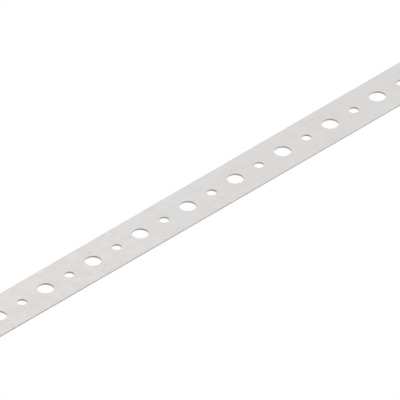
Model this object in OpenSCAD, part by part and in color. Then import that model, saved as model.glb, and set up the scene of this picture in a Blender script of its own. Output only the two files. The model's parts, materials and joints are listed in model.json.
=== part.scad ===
// Perforated steel strap: a flat galvanised band with one row of punched holes,
// large and small in turn, sheared to a straight length.
// The band lies flat, its length along X, with its underside on Z = 0 and a large hole at the middle.

/* [Band] */
// Length from one sheared end to the other
strap_length = 1000; // [100:1:3000]
// Width between the two slit edges
strap_width = 20; // [14:0.5:40]
// Thickness of the sheet
gauge = 0.8; // [0.6:0.05:2]

/* [Holes] */
// Distance from each hole to the next one, large to small
hole_spacing = 13; // [10:0.5:30]
// Diameter of the large holes, which clear a 6 mm bolt
bolt_hole_d = 6.7; // [4:0.1:9]
// Diameter of the small holes, for screws and nails
screw_hole_d = 4; // [2:0.1:7]
// Least metal left between the last hole's rim and the end
end_land = 2; // [1:0.1:10]

/* [Sheared edges] */
// Radius that the punch and the shears draw down on the upper face
roll_over = 0.06; // [0.03:0.01:0.2]
// Height of the smooth, square band cut below that radius
sheared_band = 0.28; // [0.1:0.01:0.35]
// How far the torn band below it leans back from the cut
breakaway = 0.04; // [0.01:0.01:0.08]

/* [Hidden] */
// Flat steps along the rolled-over radius
roll_steps = 3;
// How far a cutting shape reaches past the metal it cuts
cut_past = 1;
$fn = 96;

// Distance from one large hole to the next
repeat = 2 * hole_spacing;

// Holes that fit on each side of the middle, with the least land left at the end
bolt_pairs = floor((strap_length / 2 - end_land - bolt_hole_d / 2) / repeat);
screw_pairs = floor((strap_length / 2 - end_land - screw_hole_d / 2) / repeat + 1 / 2);

// Places of the holes along the band
bolt_places = [for (i = [-bolt_pairs : bolt_pairs]) i * repeat];
screw_places = [for (i = [1 - screw_pairs : screw_pairs]) (i - 1 / 2) * repeat];

// A sheared edge from the underside up, as [set back from the cut, height]:
// the torn band, the smooth band and the rolled-over radius
sheared_edge = concat(
    [[breakaway, 0], [0, gauge - roll_over - sheared_band]],
    [for (i = [0 : roll_steps])
        let (turn = 90 * i / roll_steps)
        [roll_over * (1 - cos(turn)), gauge - roll_over * (1 - sin(turn))]]
);

// Section of sheet that was sheared on both sides to one nominal width
module sheared_section(width) {
    right = [for (p = sheared_edge) [width / 2 - p[0], p[1]]];
    left = [for (i = [len(right) - 1 : -1 : 0]) [-right[i][0], right[i][1]]];
    polygon(concat(right, left));
}

// Sheet cut to size: the section between the slit edges, met by the section between the sheared ends
module blank() {
    intersection() {
        rotate([90, 0, 90])
            linear_extrude(height = strap_length + 2 * cut_past, center = true)
                sheared_section(strap_width);
        rotate([90, 0, 0])
            linear_extrude(height = strap_width + 2 * cut_past, center = true)
                sheared_section(strap_length);
    }
}

// The metal that one punch takes out, with the same edge as the rest of the cuts
module punching(diameter) {
    wall = [for (p = sheared_edge) [diameter / 2 + p[0], p[1]]];
    below = [wall[0][0], -cut_past];
    above = [wall[len(wall) - 1][0], gauge + cut_past];
    rotate_extrude()
        polygon(concat([[0, below[1]], below], wall, [above, [0, above[1]]]));
}

module strap() {
    color("gainsboro")
        difference() {
            blank();
            for (x = bolt_places)
                translate([x, 0, 0]) punching(bolt_hole_d);
            for (x = screw_places)
                translate([x, 0, 0]) punching(screw_hole_d);
        }
}

strap();
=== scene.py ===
# A galvanised, perforated steel strap in a white studio
import json
import math

import bpy
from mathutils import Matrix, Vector


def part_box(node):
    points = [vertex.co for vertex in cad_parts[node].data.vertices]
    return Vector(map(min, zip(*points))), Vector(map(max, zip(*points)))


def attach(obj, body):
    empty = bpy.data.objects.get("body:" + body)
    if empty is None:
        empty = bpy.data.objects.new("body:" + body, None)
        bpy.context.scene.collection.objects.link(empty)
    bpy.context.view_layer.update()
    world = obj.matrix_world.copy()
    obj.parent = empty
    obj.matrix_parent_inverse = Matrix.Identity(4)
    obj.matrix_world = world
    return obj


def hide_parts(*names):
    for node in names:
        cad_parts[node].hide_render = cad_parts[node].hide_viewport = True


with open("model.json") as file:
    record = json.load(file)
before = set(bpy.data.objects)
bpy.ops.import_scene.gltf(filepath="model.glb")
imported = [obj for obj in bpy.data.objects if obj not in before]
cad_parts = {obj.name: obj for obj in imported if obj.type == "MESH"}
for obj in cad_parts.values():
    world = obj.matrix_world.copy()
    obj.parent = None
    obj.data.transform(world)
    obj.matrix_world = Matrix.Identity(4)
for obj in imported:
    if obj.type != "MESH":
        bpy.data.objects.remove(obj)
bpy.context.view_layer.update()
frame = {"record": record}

# The band's own box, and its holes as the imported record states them, in metres
mmPerMetre = 1000
strapLow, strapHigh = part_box("strap")
bores = {mount["name"]: mount for mount in frame["record"]["mounts"] if mount["kind"] == "bore"}
boltBore = bores["middle_bolt_hole_1"]
screwBore = bores["middle_screw_hole_1"]
boltRadius = boltBore["dims"]["r_mm"] / mmPerMetre
screwRadius = screwBore["dims"]["r_mm"] / mmPerMetre
holeSpacing = abs(boltBore["pos_m"][0] - screwBore["pos_m"][0])
lastHole = max(bore["pos_m"][0] for bore in bores.values())  # a large one, as far out on each side
boltHoles = 2 * round(lastHole / (2 * holeSpacing)) + 1  # one of them at the band's middle
endCells = 2  # large holes with a sheared end beside them
strapLength = strapHigh.x - strapLow.x
strapWidth = strapHigh.y - strapLow.y
gauge = strapHigh.z - strapLow.z
print("frame: strap", round(strapLength, 4), "x", round(strapWidth, 4), "x", round(gauge, 5), "m")


class Wire:
    # one output of a node, or with no socket just its tree
    # sums, products and comparisons of wires add their own Math nodes

    def __init__(self, tree, socket=None):
        self.tree = tree
        self.socket = socket

    def feed(self, socket, value):
        if isinstance(value, list):  # for a socket that takes several links
            for each in value:
                self.tree.links.new(each.socket, socket)
        elif isinstance(value, Wire):
            self.tree.links.new(value.socket, socket)
        else:
            socket.default_value = value

    def node(self, kind, sockets=None, out=0, captures=None, **settings):
        made = self.tree.nodes.new(kind)
        for name, value in settings.items():
            setattr(made, name, value)
        if captures:
            made.capture_items.new(*captures)
        for name, value in (sockets or {}).items():
            self.feed(made.inputs[name], value)
        if made.outputs:  # the last node of a tree has none
            return Wire(self.tree, made.outputs[out])

    def other(self, name):
        return Wire(self.tree, self.socket.node.outputs[name])

    def parts(self):
        x = self.node("ShaderNodeSeparateXYZ", {0: self})
        return x, x.other("Y"), x.other("Z")

    def math(self, operation, *others):
        return self.node("ShaderNodeMath", dict(enumerate((self, *others))), operation=operation)

    def vector(self, operation, *others, out=0):
        inputs = dict(enumerate((self, *others)))
        if operation == "SCALE":
            inputs = {0: self, "Scale": others[0]}
        return self.node("ShaderNodeVectorMath", inputs, out, operation=operation)

    def mixColour(self, first, second, blend="MIX"):
        # 6, 7 and 2 are the Mix node's two colours and the colour it gives
        sockets = {0: self, 6: first, 7: second}
        return self.node("ShaderNodeMix", sockets, 2, data_type="RGBA", blend_type=blend)

    def ramp(self, low, high, toLow=0.0, toHigh=1.0):
        sockets = {"Value": self, "From Min": low, "From Max": high, "To Min": toLow, "To Max": toHigh}
        return self.node("ShaderNodeMapRange", sockets, interpolation_type="SMOOTHSTEP")

    def noise(self, spacing, detail=2.0):
        # soft noise from 0 to 1, of that spacing in metres along each axis
        scaled = self.vector("MULTIPLY", tuple(1 / each for each in spacing))
        return self.node("ShaderNodeTexNoise", {"Vector": scaled, "Scale": 1.0, "Detail": detail})

    def swing(self):
        # what runs from 0 to 1, about zero
        return self - 0.5

    def reflected(self, operation, first):
        return self.node("ShaderNodeMath", {0: first, 1: self}, operation=operation)

    def __add__(self, other):
        return self.math("ADD", other)

    def __radd__(self, other):
        return self.math("ADD", other)

    def __sub__(self, other):
        return self.math("SUBTRACT", other)

    def __rsub__(self, other):
        return self.reflected("SUBTRACT", other)

    def __mul__(self, other):
        return self.math("MULTIPLY", other)

    def __rmul__(self, other):
        return self.math("MULTIPLY", other)

    def __truediv__(self, other):
        return self.math("DIVIDE", other)

    def __rtruediv__(self, other):
        return self.reflected("DIVIDE", other)

    def __gt__(self, other):
        return self.math("GREATER_THAN", other)

    def __lt__(self, other):
        return self.math("LESS_THAN", other)

    def __neg__(self):
        return self.math("MULTIPLY", -1.0)


def newTree(name, inputs):
    # a tree with named inputs, and a wire from each of them
    tree = bpy.data.node_groups.new(name, "GeometryNodeTree")
    for inputName, kind in inputs.items():
        tree.interface.new_socket(inputName, in_out="INPUT", socket_type="NodeSocket" + kind)
    tree.interface.new_socket("Geometry", in_out="OUTPUT", socket_type="NodeSocketGeometry")
    entry = tree.nodes.new("NodeGroupInput")
    return tree, {inputName: Wire(tree, entry.outputs[inputName]) for inputName in inputs}


# What the shears and the punch leave along every cut, in metres, and how finely it is drawn
strapCut = {
    "rollOver": 0.00006,  # radius drawn down on the upper face
    "rollSteps": 4,  # faces round that radius
    "shearedBand": 0.00028,  # smooth, square part of the cut
    "breakaway": 0.00004,  # lean of the torn part below it
    "around": 64,  # steps round a hole
    "ringShares": (0.27, 0.6, 1.0),  # rings of faces, from a hole's rim out to its cell's border
    "weld": 0.000002,  # cells that meet this closely are one sheet
    "hair": 0.05,  # points this near a cut's line are on it, as a share of the gauge
    "creaseAngle": math.radians(30),  # sharper edges stay hard
    "faceAngle": math.radians(3),  # and so do these, round the flat upper face
    "mapRows": 5,  # rows of cells on the texture map, for each of the band's two faces
    "mapGap": 0.0006,  # between two rows
    "mapBorder": 0.001,  # round all of them
    "wallReach": 0.25,  # a wall's faces are this near its cut's line, as a share of the gauge
    "underNormal": -0.5,  # faces whose normals point further down are the underside
}


def punchedCell(look):
    # one hole and the sheet around it, with walls along every cut and none where the next cell joins on
    tree, given = newTree("punchedCell", {
        "Hole Radius": "Float", "Reach": "Float", "End Cut": "Float", "Spacing": "Float", "Width": "Float",
        "Gauge": "Float", "Roll Over": "Float", "Sheared Band": "Float", "Breakaway": "Float",
    })
    wire = Wire(tree)
    around = look["around"]
    halfCell = given["Spacing"] * 0.5
    halfWidth = given["Width"] * 0.5
    hair = given["Gauge"] * look["hair"]

    # the steps are shared out so that one falls on each corner of the cell
    corner = halfWidth.math("ARCTAN2", halfCell)
    joinShare = 2 * math.atan2(strapWidth, holeSpacing) / math.pi  # of half a turn, what faces a join
    joinSteps = round(around / 2 * joinShare)
    edgeSteps = around // 2 - joinSteps
    index = wire.node("GeometryNodeInputIndex")
    half = (index / (around / 2)).math("FLOOR")
    step = index - half * (around / 2)
    turn = half * math.pi - corner + step.math("MINIMUM", joinSteps) * (corner * (2 / joinSteps))
    turn = turn + (step - joinSteps).math("MAXIMUM", 0.0) * ((math.pi - corner * 2) / edgeSteps)
    heading = wire.node("ShaderNodeCombineXYZ", {"X": turn.math("COSINE"), "Y": turn.math("SINE")})
    rim = wire.node("GeometryNodeMeshCircle", {
        "Vertices": around, "Radius": given["Hole Radius"]}, fill_type="NONE")
    rim = wire.node("GeometryNodeSetPosition", {
        "Geometry": rim, "Position": heading.vector("SCALE", given["Hole Radius"])})

    # rings of faces from the rim out to the border, each along its own ray from the hole's middle
    position = wire.node("GeometryNodeInputPosition")
    ray = position.vector("NORMALIZE")
    rayX, rayY, _ = ray.parts()
    tiny = 0.000001  # so that a ray along one axis never divides by zero
    toJoin = halfCell / rayX.math("ABSOLUTE").math("MAXIMUM", tiny)
    toEdge = halfWidth / rayY.math("ABSOLUTE").math("MAXIMUM", tiny)
    border = toJoin.math("MINIMUM", toEdge)
    sheet, outer = rim, None
    for share in look["ringShares"]:
        sockets = {"Mesh": sheet, "Offset Scale": 0.0}
        if outer:
            sockets["Selection"] = outer
        grown = wire.node("GeometryNodeExtrudeMesh", sockets, mode="EDGES")
        outer = grown.other("Top")
        radius = given["Hole Radius"] + (border - given["Hole Radius"]) * share
        sheet = wire.node("GeometryNodeSetPosition", {
            "Geometry": grown, "Selection": outer, "Position": ray.vector("SCALE", radius)})

    # the side that faces an end goes out to that end
    x, y, _ = position.parts()
    atReach = wire.node("ShaderNodeCombineXYZ", {"X": given["Reach"], "Y": y})
    sheet = wire.node("GeometryNodeSetPosition", {
        "Geometry": sheet, "Selection": x > halfCell - hair, "Position": atReach})
    normalZ = wire.node("GeometryNodeInputNormal").parts()[2]
    sheet = wire.node("GeometryNodeFlipFaces", {"Mesh": sheet, "Selection": normalZ < 0.0})

    # for each point on a cut, the way into the metal
    onRim = position.vector("LENGTH", out="Value") < given["Hole Radius"] + hair
    onEdge = y.math("ABSOLUTE") > halfWidth - hair
    onEnd = (x > given["Reach"] - hair) * given["End Cut"]
    inwards = wire.node("ShaderNodeCombineXYZ", {"X": -onEnd, "Y": -(y.math("SIGN") * onEdge)})
    inwards = inwards.vector("ADD", ray.vector("SCALE", onRim))
    plan = wire.node("GeometryNodeCaptureAttribute", {
        "Geometry": sheet, "Inwards": inwards}, captures=("VECTOR", "Inwards"))
    inwards = plan.other("Inwards")

    # the upper face, set back by the rolled-over radius
    lift = wire.node("ShaderNodeCombineXYZ", {"Z": given["Gauge"]})
    setBack = inwards.vector("SCALE", given["Roll Over"])
    body = wire.node("GeometryNodeSetPosition", {"Geometry": plan, "Offset": setBack.vector("ADD", lift)})
    openEdge = wire.node("GeometryNodeInputMeshEdgeNeighbors") < 1.5  # one face beside it, not two
    joined = (x > halfCell - hair) * (1 - given["End Cut"])
    joined = joined.math("MAXIMUM", x < hair - halfCell)
    cut = openEdge * (1 - joined)

    # then down each cut: the rolled-over radius, the smooth band and the torn band
    steps = look["rollSteps"]
    turns = [math.pi / 2 * (steps - i) / steps for i in range(steps + 1)]
    ways = []
    for high, low in zip(turns, turns[1:]):
        inwardsBy = given["Roll Over"] * (math.cos(high) - math.cos(low))
        upBy = given["Roll Over"] * (math.sin(low) - math.sin(high))
        ways.append((inwardsBy, upBy))
    ways.append((0.0, -given["Sheared Band"]))
    ways.append((given["Breakaway"], given["Sheared Band"] + given["Roll Over"] - given["Gauge"]))
    for inwardsBy, upBy in ways:
        drawn = wire.node("GeometryNodeExtrudeMesh", {
            "Mesh": body, "Selection": cut, "Offset Scale": 0.0}, mode="EDGES")
        cut = drawn.other("Top")
        rise = wire.node("ShaderNodeCombineXYZ", {"Z": upBy})
        body = wire.node("GeometryNodeSetPosition", {
            "Geometry": drawn, "Selection": cut,
            "Offset": inwards.vector("SCALE", inwardsBy).vector("ADD", rise)})

    under = wire.node("GeometryNodeSetPosition", {
        "Geometry": plan, "Offset": inwards.vector("SCALE", given["Breakaway"])})
    under = wire.node("GeometryNodeFlipFaces", {"Mesh": under})
    cell = wire.node("GeometryNodeJoinGeometry", {"Geometry": [body, under]})
    wire.node("NodeGroupOutput", {"Geometry": cell})
    return tree


def flatMap(wire, given, look):
    # each face's place on a square sheet: rows of the upper face with its cuts, then of the underside
    def ofFace(value):
        return wire.node("GeometryNodeFieldOnDomain", {0: value}, domain="FACE")

    spacing = given["Spacing"]
    sheet = given["Gauge"]
    wall = sheet * look["wallReach"]
    x, y, z = wire.node("GeometryNodeInputPosition").parts()
    normalZ = wire.node("GeometryNodeInputNormal").parts()[2]
    cell = ofFace((x / spacing).math("ROUND"))
    fromHole = wire.node("ShaderNodeCombineXYZ", {"X": x - cell * spacing, "Y": y})
    isScrew = cell.math("FLOORED_MODULO", 2.0)
    holeRadius = given["Bolt Radius"] + isScrew * (given["Screw Radius"] - given["Bolt Radius"])
    onHole = ofFace(fromHole.vector("LENGTH", out="Value")) < holeRadius + wall
    onEnd = (ofFace(x.math("ABSOLUTE")) > given["Length"] * 0.5 - wall) * (1 - onHole)
    onEdge = (1 - onHole) * (1 - onEnd)  # the flat faces too, which have no depth to fold out
    under = ofFace(normalZ) < look["underNormal"]

    # each cut is folded out level with the upper face: a hole's towards its middle, the others outwards
    rayX, rayY, _ = fromHole.vector("NORMALIZE").parts()
    depth = (sheet - z) * (1 - under)
    flatX = x - cell * spacing + depth * (onEnd * x.math("SIGN") - onHole * rayX)
    flatY = y * (1 - under * 2.0) + depth * (onEdge * y.math("SIGN") - onHole * rayY)

    # then the cells go row by row, and the whole sheet is brought to a side of 1
    cells = given["Bolt Cells"] + given["Screw Cells"] + endCells
    columns = (cells / look["mapRows"]).math("CEIL")
    order = cell + (cells - 1) * 0.5
    row = (order / columns).math("FLOOR")
    rowHeight = given["Width"] + sheet * 2.0 + look["mapGap"]
    across = (order - row * columns + 0.5) * spacing + flatX
    up = (row + under * look["mapRows"] + 0.5) * rowHeight + flatY
    allRows = rowHeight * (2 * look["mapRows"])
    side = (columns * spacing).math("MAXIMUM", allRows) + 2 * look["mapBorder"]
    return wire.node("ShaderNodeCombineXYZ", {
        "X": (across + look["mapBorder"]) / side, "Y": (up + look["mapBorder"]) / side})


def perforatedBand(look):
    # the band: a row of punched cells, large and small in turn, with a sheared one at each end
    tree, given = newTree("perforatedBand", {
        "Length": "Float", "Width": "Float", "Gauge": "Float", "Spacing": "Float", "Last Hole": "Float",
        "Bolt Radius": "Float", "Screw Radius": "Float", "Bolt Cells": "Int", "Screw Cells": "Int",
        "Roll Over": "Float", "Sheared Band": "Float", "Breakaway": "Float", "Material": "Material",
    })
    wire = Wire(tree)
    cellTree = punchedCell(look)
    shared = {name: given[name] for name in
              ("Spacing", "Width", "Gauge", "Roll Over", "Sheared Band", "Breakaway")}

    def cell(radius, reach, endCut):
        sockets = dict(shared, **{"Hole Radius": radius, "Reach": reach, "End Cut": endCut})
        return wire.node("GeometryNodeGroup", sockets, node_tree=cellTree)

    def row(count, pitch, instance, turned=None):
        # a row of like cells, as many on each side of the band's middle
        start = wire.node("ShaderNodeCombineXYZ", {"X": (count - 1) * pitch * -0.5})
        offset = wire.node("ShaderNodeCombineXYZ", {"X": pitch})
        points = wire.node("GeometryNodeMeshLine", {
            "Count": count, "Start Location": start, "Offset": offset}, mode="OFFSET")
        sockets = {"Points": points, "Instance": instance}
        if turned:
            sockets["Rotation"] = turned
        return wire.node("GeometryNodeInstanceOnPoints", sockets)

    halfCell = given["Spacing"] * 0.5
    pitch = given["Spacing"] * 2.0
    toEnd = given["Length"] * 0.5 - given["Last Hole"]
    index = wire.node("GeometryNodeInputIndex")
    turned = wire.node("ShaderNodeCombineXYZ", {"Z": (1 - index) * math.pi})  # so each cut faces its end
    rows = [
        row(given["Bolt Cells"], pitch, cell(given["Bolt Radius"], halfCell, 0.0)),
        row(given["Screw Cells"], pitch, cell(given["Screw Radius"], halfCell, 0.0)),
        row(endCells, given["Last Hole"] * 2.0, cell(given["Bolt Radius"], toEnd, 1.0), turned),
    ]
    band = wire.node("GeometryNodeJoinGeometry", {"Geometry": rows})
    band = wire.node("GeometryNodeRealizeInstances", {"Geometry": band})
    band = wire.node("GeometryNodeMergeByDistance", {"Geometry": band, "Distance": look["weld"]})

    # hard corners, and the line where the flat upper face begins to roll over
    angle = wire.node("GeometryNodeInputMeshEdgeAngle")
    height = wire.node("GeometryNodeInputPosition").parts()[2]
    faceBorder = (angle > look["faceAngle"]) * (height > given["Gauge"] - look["weld"])
    crease = faceBorder.math("MAXIMUM", angle > look["creaseAngle"])
    band = wire.node("GeometryNodeSetShadeSmooth", {
        "Geometry": band, "Selection": crease, "Shade Smooth": False}, domain="EDGE")
    band = wire.node("GeometryNodeStoreNamedAttribute", {
        "Geometry": band, "Name": "OFBake", "Value": flatMap(wire, given, look)},
        data_type="FLOAT2", domain="CORNER")
    band = wire.node("GeometryNodeSetMaterial", {"Geometry": band, "Material": given["Material"]})
    wire.node("NodeGroupOutput", {"Geometry": band})
    return tree


def plainMesh(name, tree, values):
    # the tree's result as a mesh of its own, with no modifier left on the piece
    piece = bpy.data.objects.new(name, bpy.data.meshes.new(name))
    bpy.context.scene.collection.objects.link(piece)
    modifier = piece.modifiers.new(name, "NODES")
    modifier.node_group = tree
    for item in tree.interface.items_tree:
        if item.in_out == "INPUT":
            modifier[item.identifier] = values[item.name]
    graph = bpy.context.evaluated_depsgraph_get()
    mesh = bpy.data.meshes.new_from_object(piece.evaluated_get(graph), depsgraph=graph)
    piece.modifiers.clear()
    piece.data = mesh
    for place in reversed(range(len(mesh.materials))):
        if mesh.materials[place] is None:  # a slot that joining the cells leaves empty
            mesh.materials.pop(index=place)
    return piece


white = (1.0, 1.0, 1.0, 1.0)
black = (0.0, 0.0, 0.0, 1.0)


def newMaterial(name):
    material = bpy.data.materials.new(name)
    material.use_nodes = True
    material.node_tree.nodes.clear()
    return material, Wire(material.node_tree)


# The zinc coat, and the steel that a cut lays bare
# Sizes and heights are in metres, and a noise is given by its spacing along x, y and z
# A range is the two levels of a noise between which what it brings sets in
zincLook = {
    "shade": (0.667, 0.653, 0.647, 1.0),  # darkest and lightest tone of the coat
    "light": (0.698, 0.684, 0.678, 1.0),
    "crystalTone": 0.5,  # what crystals, clouds and rolling lines add to that tone
    "cloudTone": 0.7,
    "lineTone": 0.35,
    "metallic": 0.85,
    "roughness": (0.41, 0.49),
    "crystalSheen": 0.7,  # what crystals and rolling lines add to the roughness
    "lineSheen": 0.3,
    "sheenRange": (0.2, 0.8),
    "spangle": 0.0026,  # size of a crystal
    "spangleBlur": 0.4,
    "faceStretch": 8.0,  # through the sheet, so that the two faces have crystals of their own
    "tilt": 0.012,  # slope of a crystal's face
    "clouds": (0.045, 0.012, 0.012),
    "rollLines": (0.06, 0.0007, 0.0007),  # drawn along the band by the mill's rolls
    "peel": (0.0009, 0.0009, 0.0009),  # faint waves that the dipped coat sets with
    "peelHeight": 0.0000012,
    "warmCast": (1.0, 0.979, 0.961, 1.0),  # where the coat has begun to dull
    "dulledShift": (0.47, 0.24, 0.1),  # keeps those patches apart from the clouds
    "dulledRange": (0.4, 0.75),
    "scuffs": (0.014, 0.0001, 0.0001),  # hairlines that coiling and handling leave, in patches
    "scuffRange": (0.57, 0.7),
    "scuffAngles": (math.radians(2.5), math.radians(-6.0)),
    "scuffPatches": (0.022, 0.009, 0.009),
    "patchRange": (0.42, 0.65),
    "scuffDarkness": 0.08,
    "scuffRoughness": 0.08,
    "scuffHeight": 0.0000015,
    "coatEnds": (0.2, 0.9),  # where the coat gives way to a cut, in shares of the rolled-over radius
    "burnished": (0.358, 0.354, 0.349, 1.0),  # smooth band of a cut: bare steel's own grey, made darker still as painted shade on the cut faces
    "torn": (0.29, 0.286, 0.282, 1.0),  # grainy band below it, made darker still in the same way as painted shade
    "tearLine": 0.00007,  # how far the two bands reach into one another
    "cutMetallic": 0.2,
    "burnishedRoughness": 0.42,
    "tornRoughness": 0.72,
    "dragLines": (0.00009, 0.00009, 0.0016),  # down the smooth band, where the tool went
    "grains": (0.00011, 0.00011, 0.0002),  # of the torn band
    "grainDetail": 4.0,
    "grainHeight": 0.000009,
    "cutLift": 0.5,  # soft light on a cut, and how far the lines and grains change it
    "cutMottle": 0.9,
    "smearRange": (0.5, 0.75),  # zinc that the tool dragged down
    "smearShare": 0.5,
}


def zincCoatedSteel(look):
    material, wire = newMaterial("galvanised_zinc")
    place = wire.node("ShaderNodeTexCoord", out="Object")
    depth = gauge - place.parts()[2]

    # the coat: crystals of slightly different tone and tilt, under faint clouds and rolling lines
    stretched = place.vector("MULTIPLY", (1.0, 1.0, look["faceStretch"]))
    crystal = wire.node("ShaderNodeTexVoronoi", {
        "Vector": stretched, "Scale": 1 / look["spangle"], "Smoothness": look["spangleBlur"]},
        "Color", feature="SMOOTH_F1")
    tone, sheen, _ = crystal.parts()
    clouds = place.noise(look["clouds"])
    lines = place.noise(look["rollLines"])
    tone = 0.5 + tone.swing() * look["crystalTone"] + clouds.swing() * look["cloudTone"]
    tone = tone + lines.swing() * look["lineTone"]
    colour = tone.mixColour(look["shade"], look["light"])
    dulled = place.vector("ADD", look["dulledShift"]).noise(look["clouds"]).ramp(*look["dulledRange"])
    colour = dulled.mixColour(colour, look["warmCast"], "MULTIPLY")
    sheen = sheen * look["crystalSheen"] + lines * look["lineSheen"]
    roughness = sheen.ramp(*look["sheenRange"], *look["roughness"])
    lean = crystal.vector("SUBTRACT", (0.5, 0.5, 0.5))  # each crystal's own, from its random colour
    offset = stretched.vector("SUBTRACT", crystal.other("Position"))
    facet = offset.vector("DOT_PRODUCT", lean, out="Value")
    height = facet * look["tilt"] + place.noise(look["peel"]) * look["peelHeight"]

    # hairlines near the band's own direction
    scuffs = 0.0
    for angle in look["scuffAngles"]:
        turned = wire.node("ShaderNodeMapping", {"Vector": place, "Rotation": (0.0, 0.0, angle)})
        patches = turned.noise(look["scuffPatches"]).ramp(*look["patchRange"])
        scuffs = turned.noise(look["scuffs"]).ramp(*look["scuffRange"]) * patches + scuffs
    colour = (scuffs * look["scuffDarkness"]).mixColour(colour, black)
    roughness = roughness + scuffs * look["scuffRoughness"]
    height = height - scuffs * look["scuffHeight"]

    # a cut: burnished where the tool slid, grainy where the sheet tore, with some zinc dragged over it
    drag = place.noise(look["dragLines"])
    grains = place.noise(look["grains"], look["grainDetail"])
    coatEnds = [strapCut["rollOver"] * share for share in look["coatEnds"]]
    onCut = depth.ramp(*coatEnds) * (depth < gauge - strapCut["weld"])  # the underside keeps its coat
    tearAt = strapCut["rollOver"] + strapCut["shearedBand"] + drag.swing() * look["tearLine"]
    torn = (depth - tearAt).ramp(0.0, look["tearLine"])
    # both bands' colours are the bare steel's own grey plus painted shade of the hole walls and edges
    cutColour = torn.mixColour(look["burnished"], look["torn"])
    mottle = torn * grains.swing() + (1 - torn) * drag.swing()
    cutColour = (mottle * look["cutMottle"] + look["cutLift"]).mixColour(cutColour, white, "SOFT_LIGHT")
    smear = drag.ramp(*look["smearRange"]) * (1 - torn) * look["smearShare"]
    cutColour = smear.mixColour(cutColour, look["light"])
    cutRoughness = torn * (look["tornRoughness"] - look["burnishedRoughness"]) + look["burnishedRoughness"]
    cutHeight = torn * grains.swing() * look["grainHeight"]

    bump = wire.node("ShaderNodeBump", {  # at these two values a height is in metres
        "Height": height + onCut * (cutHeight - height), "Strength": 1.0, "Distance": 1.0})
    shader = wire.node("ShaderNodeBsdfPrincipled", {
        "Base Color": onCut.mixColour(colour, cutColour),
        "Metallic": look["metallic"] + onCut * (look["cutMetallic"] - look["metallic"]),
        "Roughness": roughness + onCut * (cutRoughness - roughness),
        "Normal": bump,
    })
    wire.node("ShaderNodeOutputMaterial", {"Surface": shader})
    return material


strap = plainMesh("punched_strap", perforatedBand(strapCut), {
    "Length": strapLength, "Width": strapWidth, "Gauge": gauge,
    "Spacing": holeSpacing, "Last Hole": lastHole,
    "Bolt Radius": boltRadius, "Screw Radius": screwRadius,
    "Bolt Cells": boltHoles - endCells, "Screw Cells": boltHoles - 1,
    "Roll Over": strapCut["rollOver"], "Sheared Band": strapCut["shearedBand"],
    "Breakaway": strapCut["breakaway"], "Material": zincCoatedSteel(zincLook),
})
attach(strap, "root")
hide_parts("strap")
print("strap:", len(strap.data.vertices), "points,", len(strap.data.polygons), "faces")


# A white floor, a white world and soft lamps, in metres and watts
studio = {
    "floorSize": 8.0,
    "floorGap": 0.00002,  # below the band's underside
    "floorColour": (0.89, 0.89, 0.89, 1.0),
    "whiteShare": 0.95,  # of the floor as it is seen, and the rest of it takes the shadow
    "worldStrength": 0.35,  # as light, where the world as it is seen has a strength of 1
}
# inMetal is for a lamp that the metal mirrors
keyLamp = {"spot": (0.78, -0.78, 1.1), "size": 0.6, "power": 24.0, "inMetal": False}
fillLamp = {"spot": (-0.75, 0.75, 0.8), "size": 0.6, "power": 5.0, "inMetal": False}
backLamp = {"spot": (0.177, 0.346, 0.346), "size": 0.2, "power": 0.05, "inMetal": True}


def seenDirectly(wire):
    # 1 for a ray that shows the background itself: to the camera, in metal or through glass
    rays = wire.node("ShaderNodeLightPath", out="Is Camera Ray")
    seen = rays.math("MAXIMUM", rays.other("Is Glossy Ray"))
    return seen.math("MAXIMUM", rays.other("Is Transmission Ray"))


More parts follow.
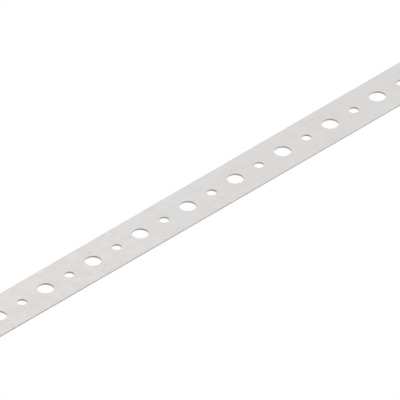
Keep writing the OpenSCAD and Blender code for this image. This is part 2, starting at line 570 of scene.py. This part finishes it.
def whiteFloor(look):
    material, wire = newMaterial("white_floor")
    lit = wire.node("ShaderNodeBsdfDiffuse", {"Color": look["floorColour"]})
    plain = wire.node("ShaderNodeEmission", {"Strength": 1.0})
    share = seenDirectly(wire) * look["whiteShare"]
    shader = wire.node("ShaderNodeMixShader", {0: share, 1: lit, 2: plain})
    wire.node("ShaderNodeOutputMaterial", {"Surface": shader})
    half = look["floorSize"] / 2
    mesh = bpy.data.meshes.new("floor")
    corners = [(-half, -half), (half, -half), (half, half), (-half, half)]
    mesh.from_pydata([(x, y, -look["floorGap"]) for x, y in corners], [], [(0, 1, 2, 3)])
    mesh.materials.append(material)
    floor = bpy.data.objects.new("floor", mesh)
    bpy.context.scene.collection.objects.link(floor)


def whiteWorld(look):
    world = bpy.data.worlds.new("white_world")
    world.use_nodes = True
    world.node_tree.nodes.clear()
    wire = Wire(world.node_tree)
    level = look["worldStrength"] + seenDirectly(wire) * (1.0 - look["worldStrength"])
    light = wire.node("ShaderNodeBackground", {"Color": white, "Strength": level})
    wire.node("ShaderNodeOutputWorld", {"Surface": light})
    bpy.context.scene.world = world


def softbox(name, look):
    # a square lamp that points at the band's middle
    lamp = bpy.data.lights.new(name, "AREA")
    lamp.shape = "SQUARE"
    lamp.size = look["size"]
    lamp.energy = look["power"]
    holder = bpy.data.objects.new(name, lamp)
    holder.visible_glossy = look["inMetal"]
    holder.location = look["spot"]
    holder.rotation_euler = (-Vector(look["spot"])).to_track_quat("-Z", "Y").to_euler()
    bpy.context.scene.collection.objects.link(holder)


whiteFloor(studio)
whiteWorld(studio)
softbox("key_lamp", keyLamp)
softbox("fill_lamp", fillLamp)
softbox("back_lamp", backLamp)
print("studio: floor, world and lamps")


# The photograph's view, with no perspective: from the band's left and near sides, in degrees and metres
photoCamera = {
    "azimuth": -45.10,
    "elevation": 35.21,
    "frameWidth": 0.15487,
    "aim": (0.00693, 0.00024, 0.0),
    "distance": 1.5,
}


def placeCamera(look):
    lens = bpy.data.cameras.new("camera")
    lens.type = "ORTHO"
    lens.ortho_scale = look["frameWidth"]
    holder = bpy.data.objects.new("camera", lens)
    azimuth = math.radians(look["azimuth"])
    elevation = math.radians(look["elevation"])
    back = Vector((math.sin(azimuth) * math.cos(elevation), -math.cos(azimuth) * math.cos(elevation),
                   math.sin(elevation)))
    holder.location = Vector(look["aim"]) + back * look["distance"]
    holder.rotation_euler = (-back).to_track_quat("-Z", "Y").to_euler()
    bpy.context.scene.collection.objects.link(holder)
    bpy.context.scene.camera = holder


placeCamera(photoCamera)
bpy.context.scene.view_settings.view_transform = "Standard"
print("camera: placed")
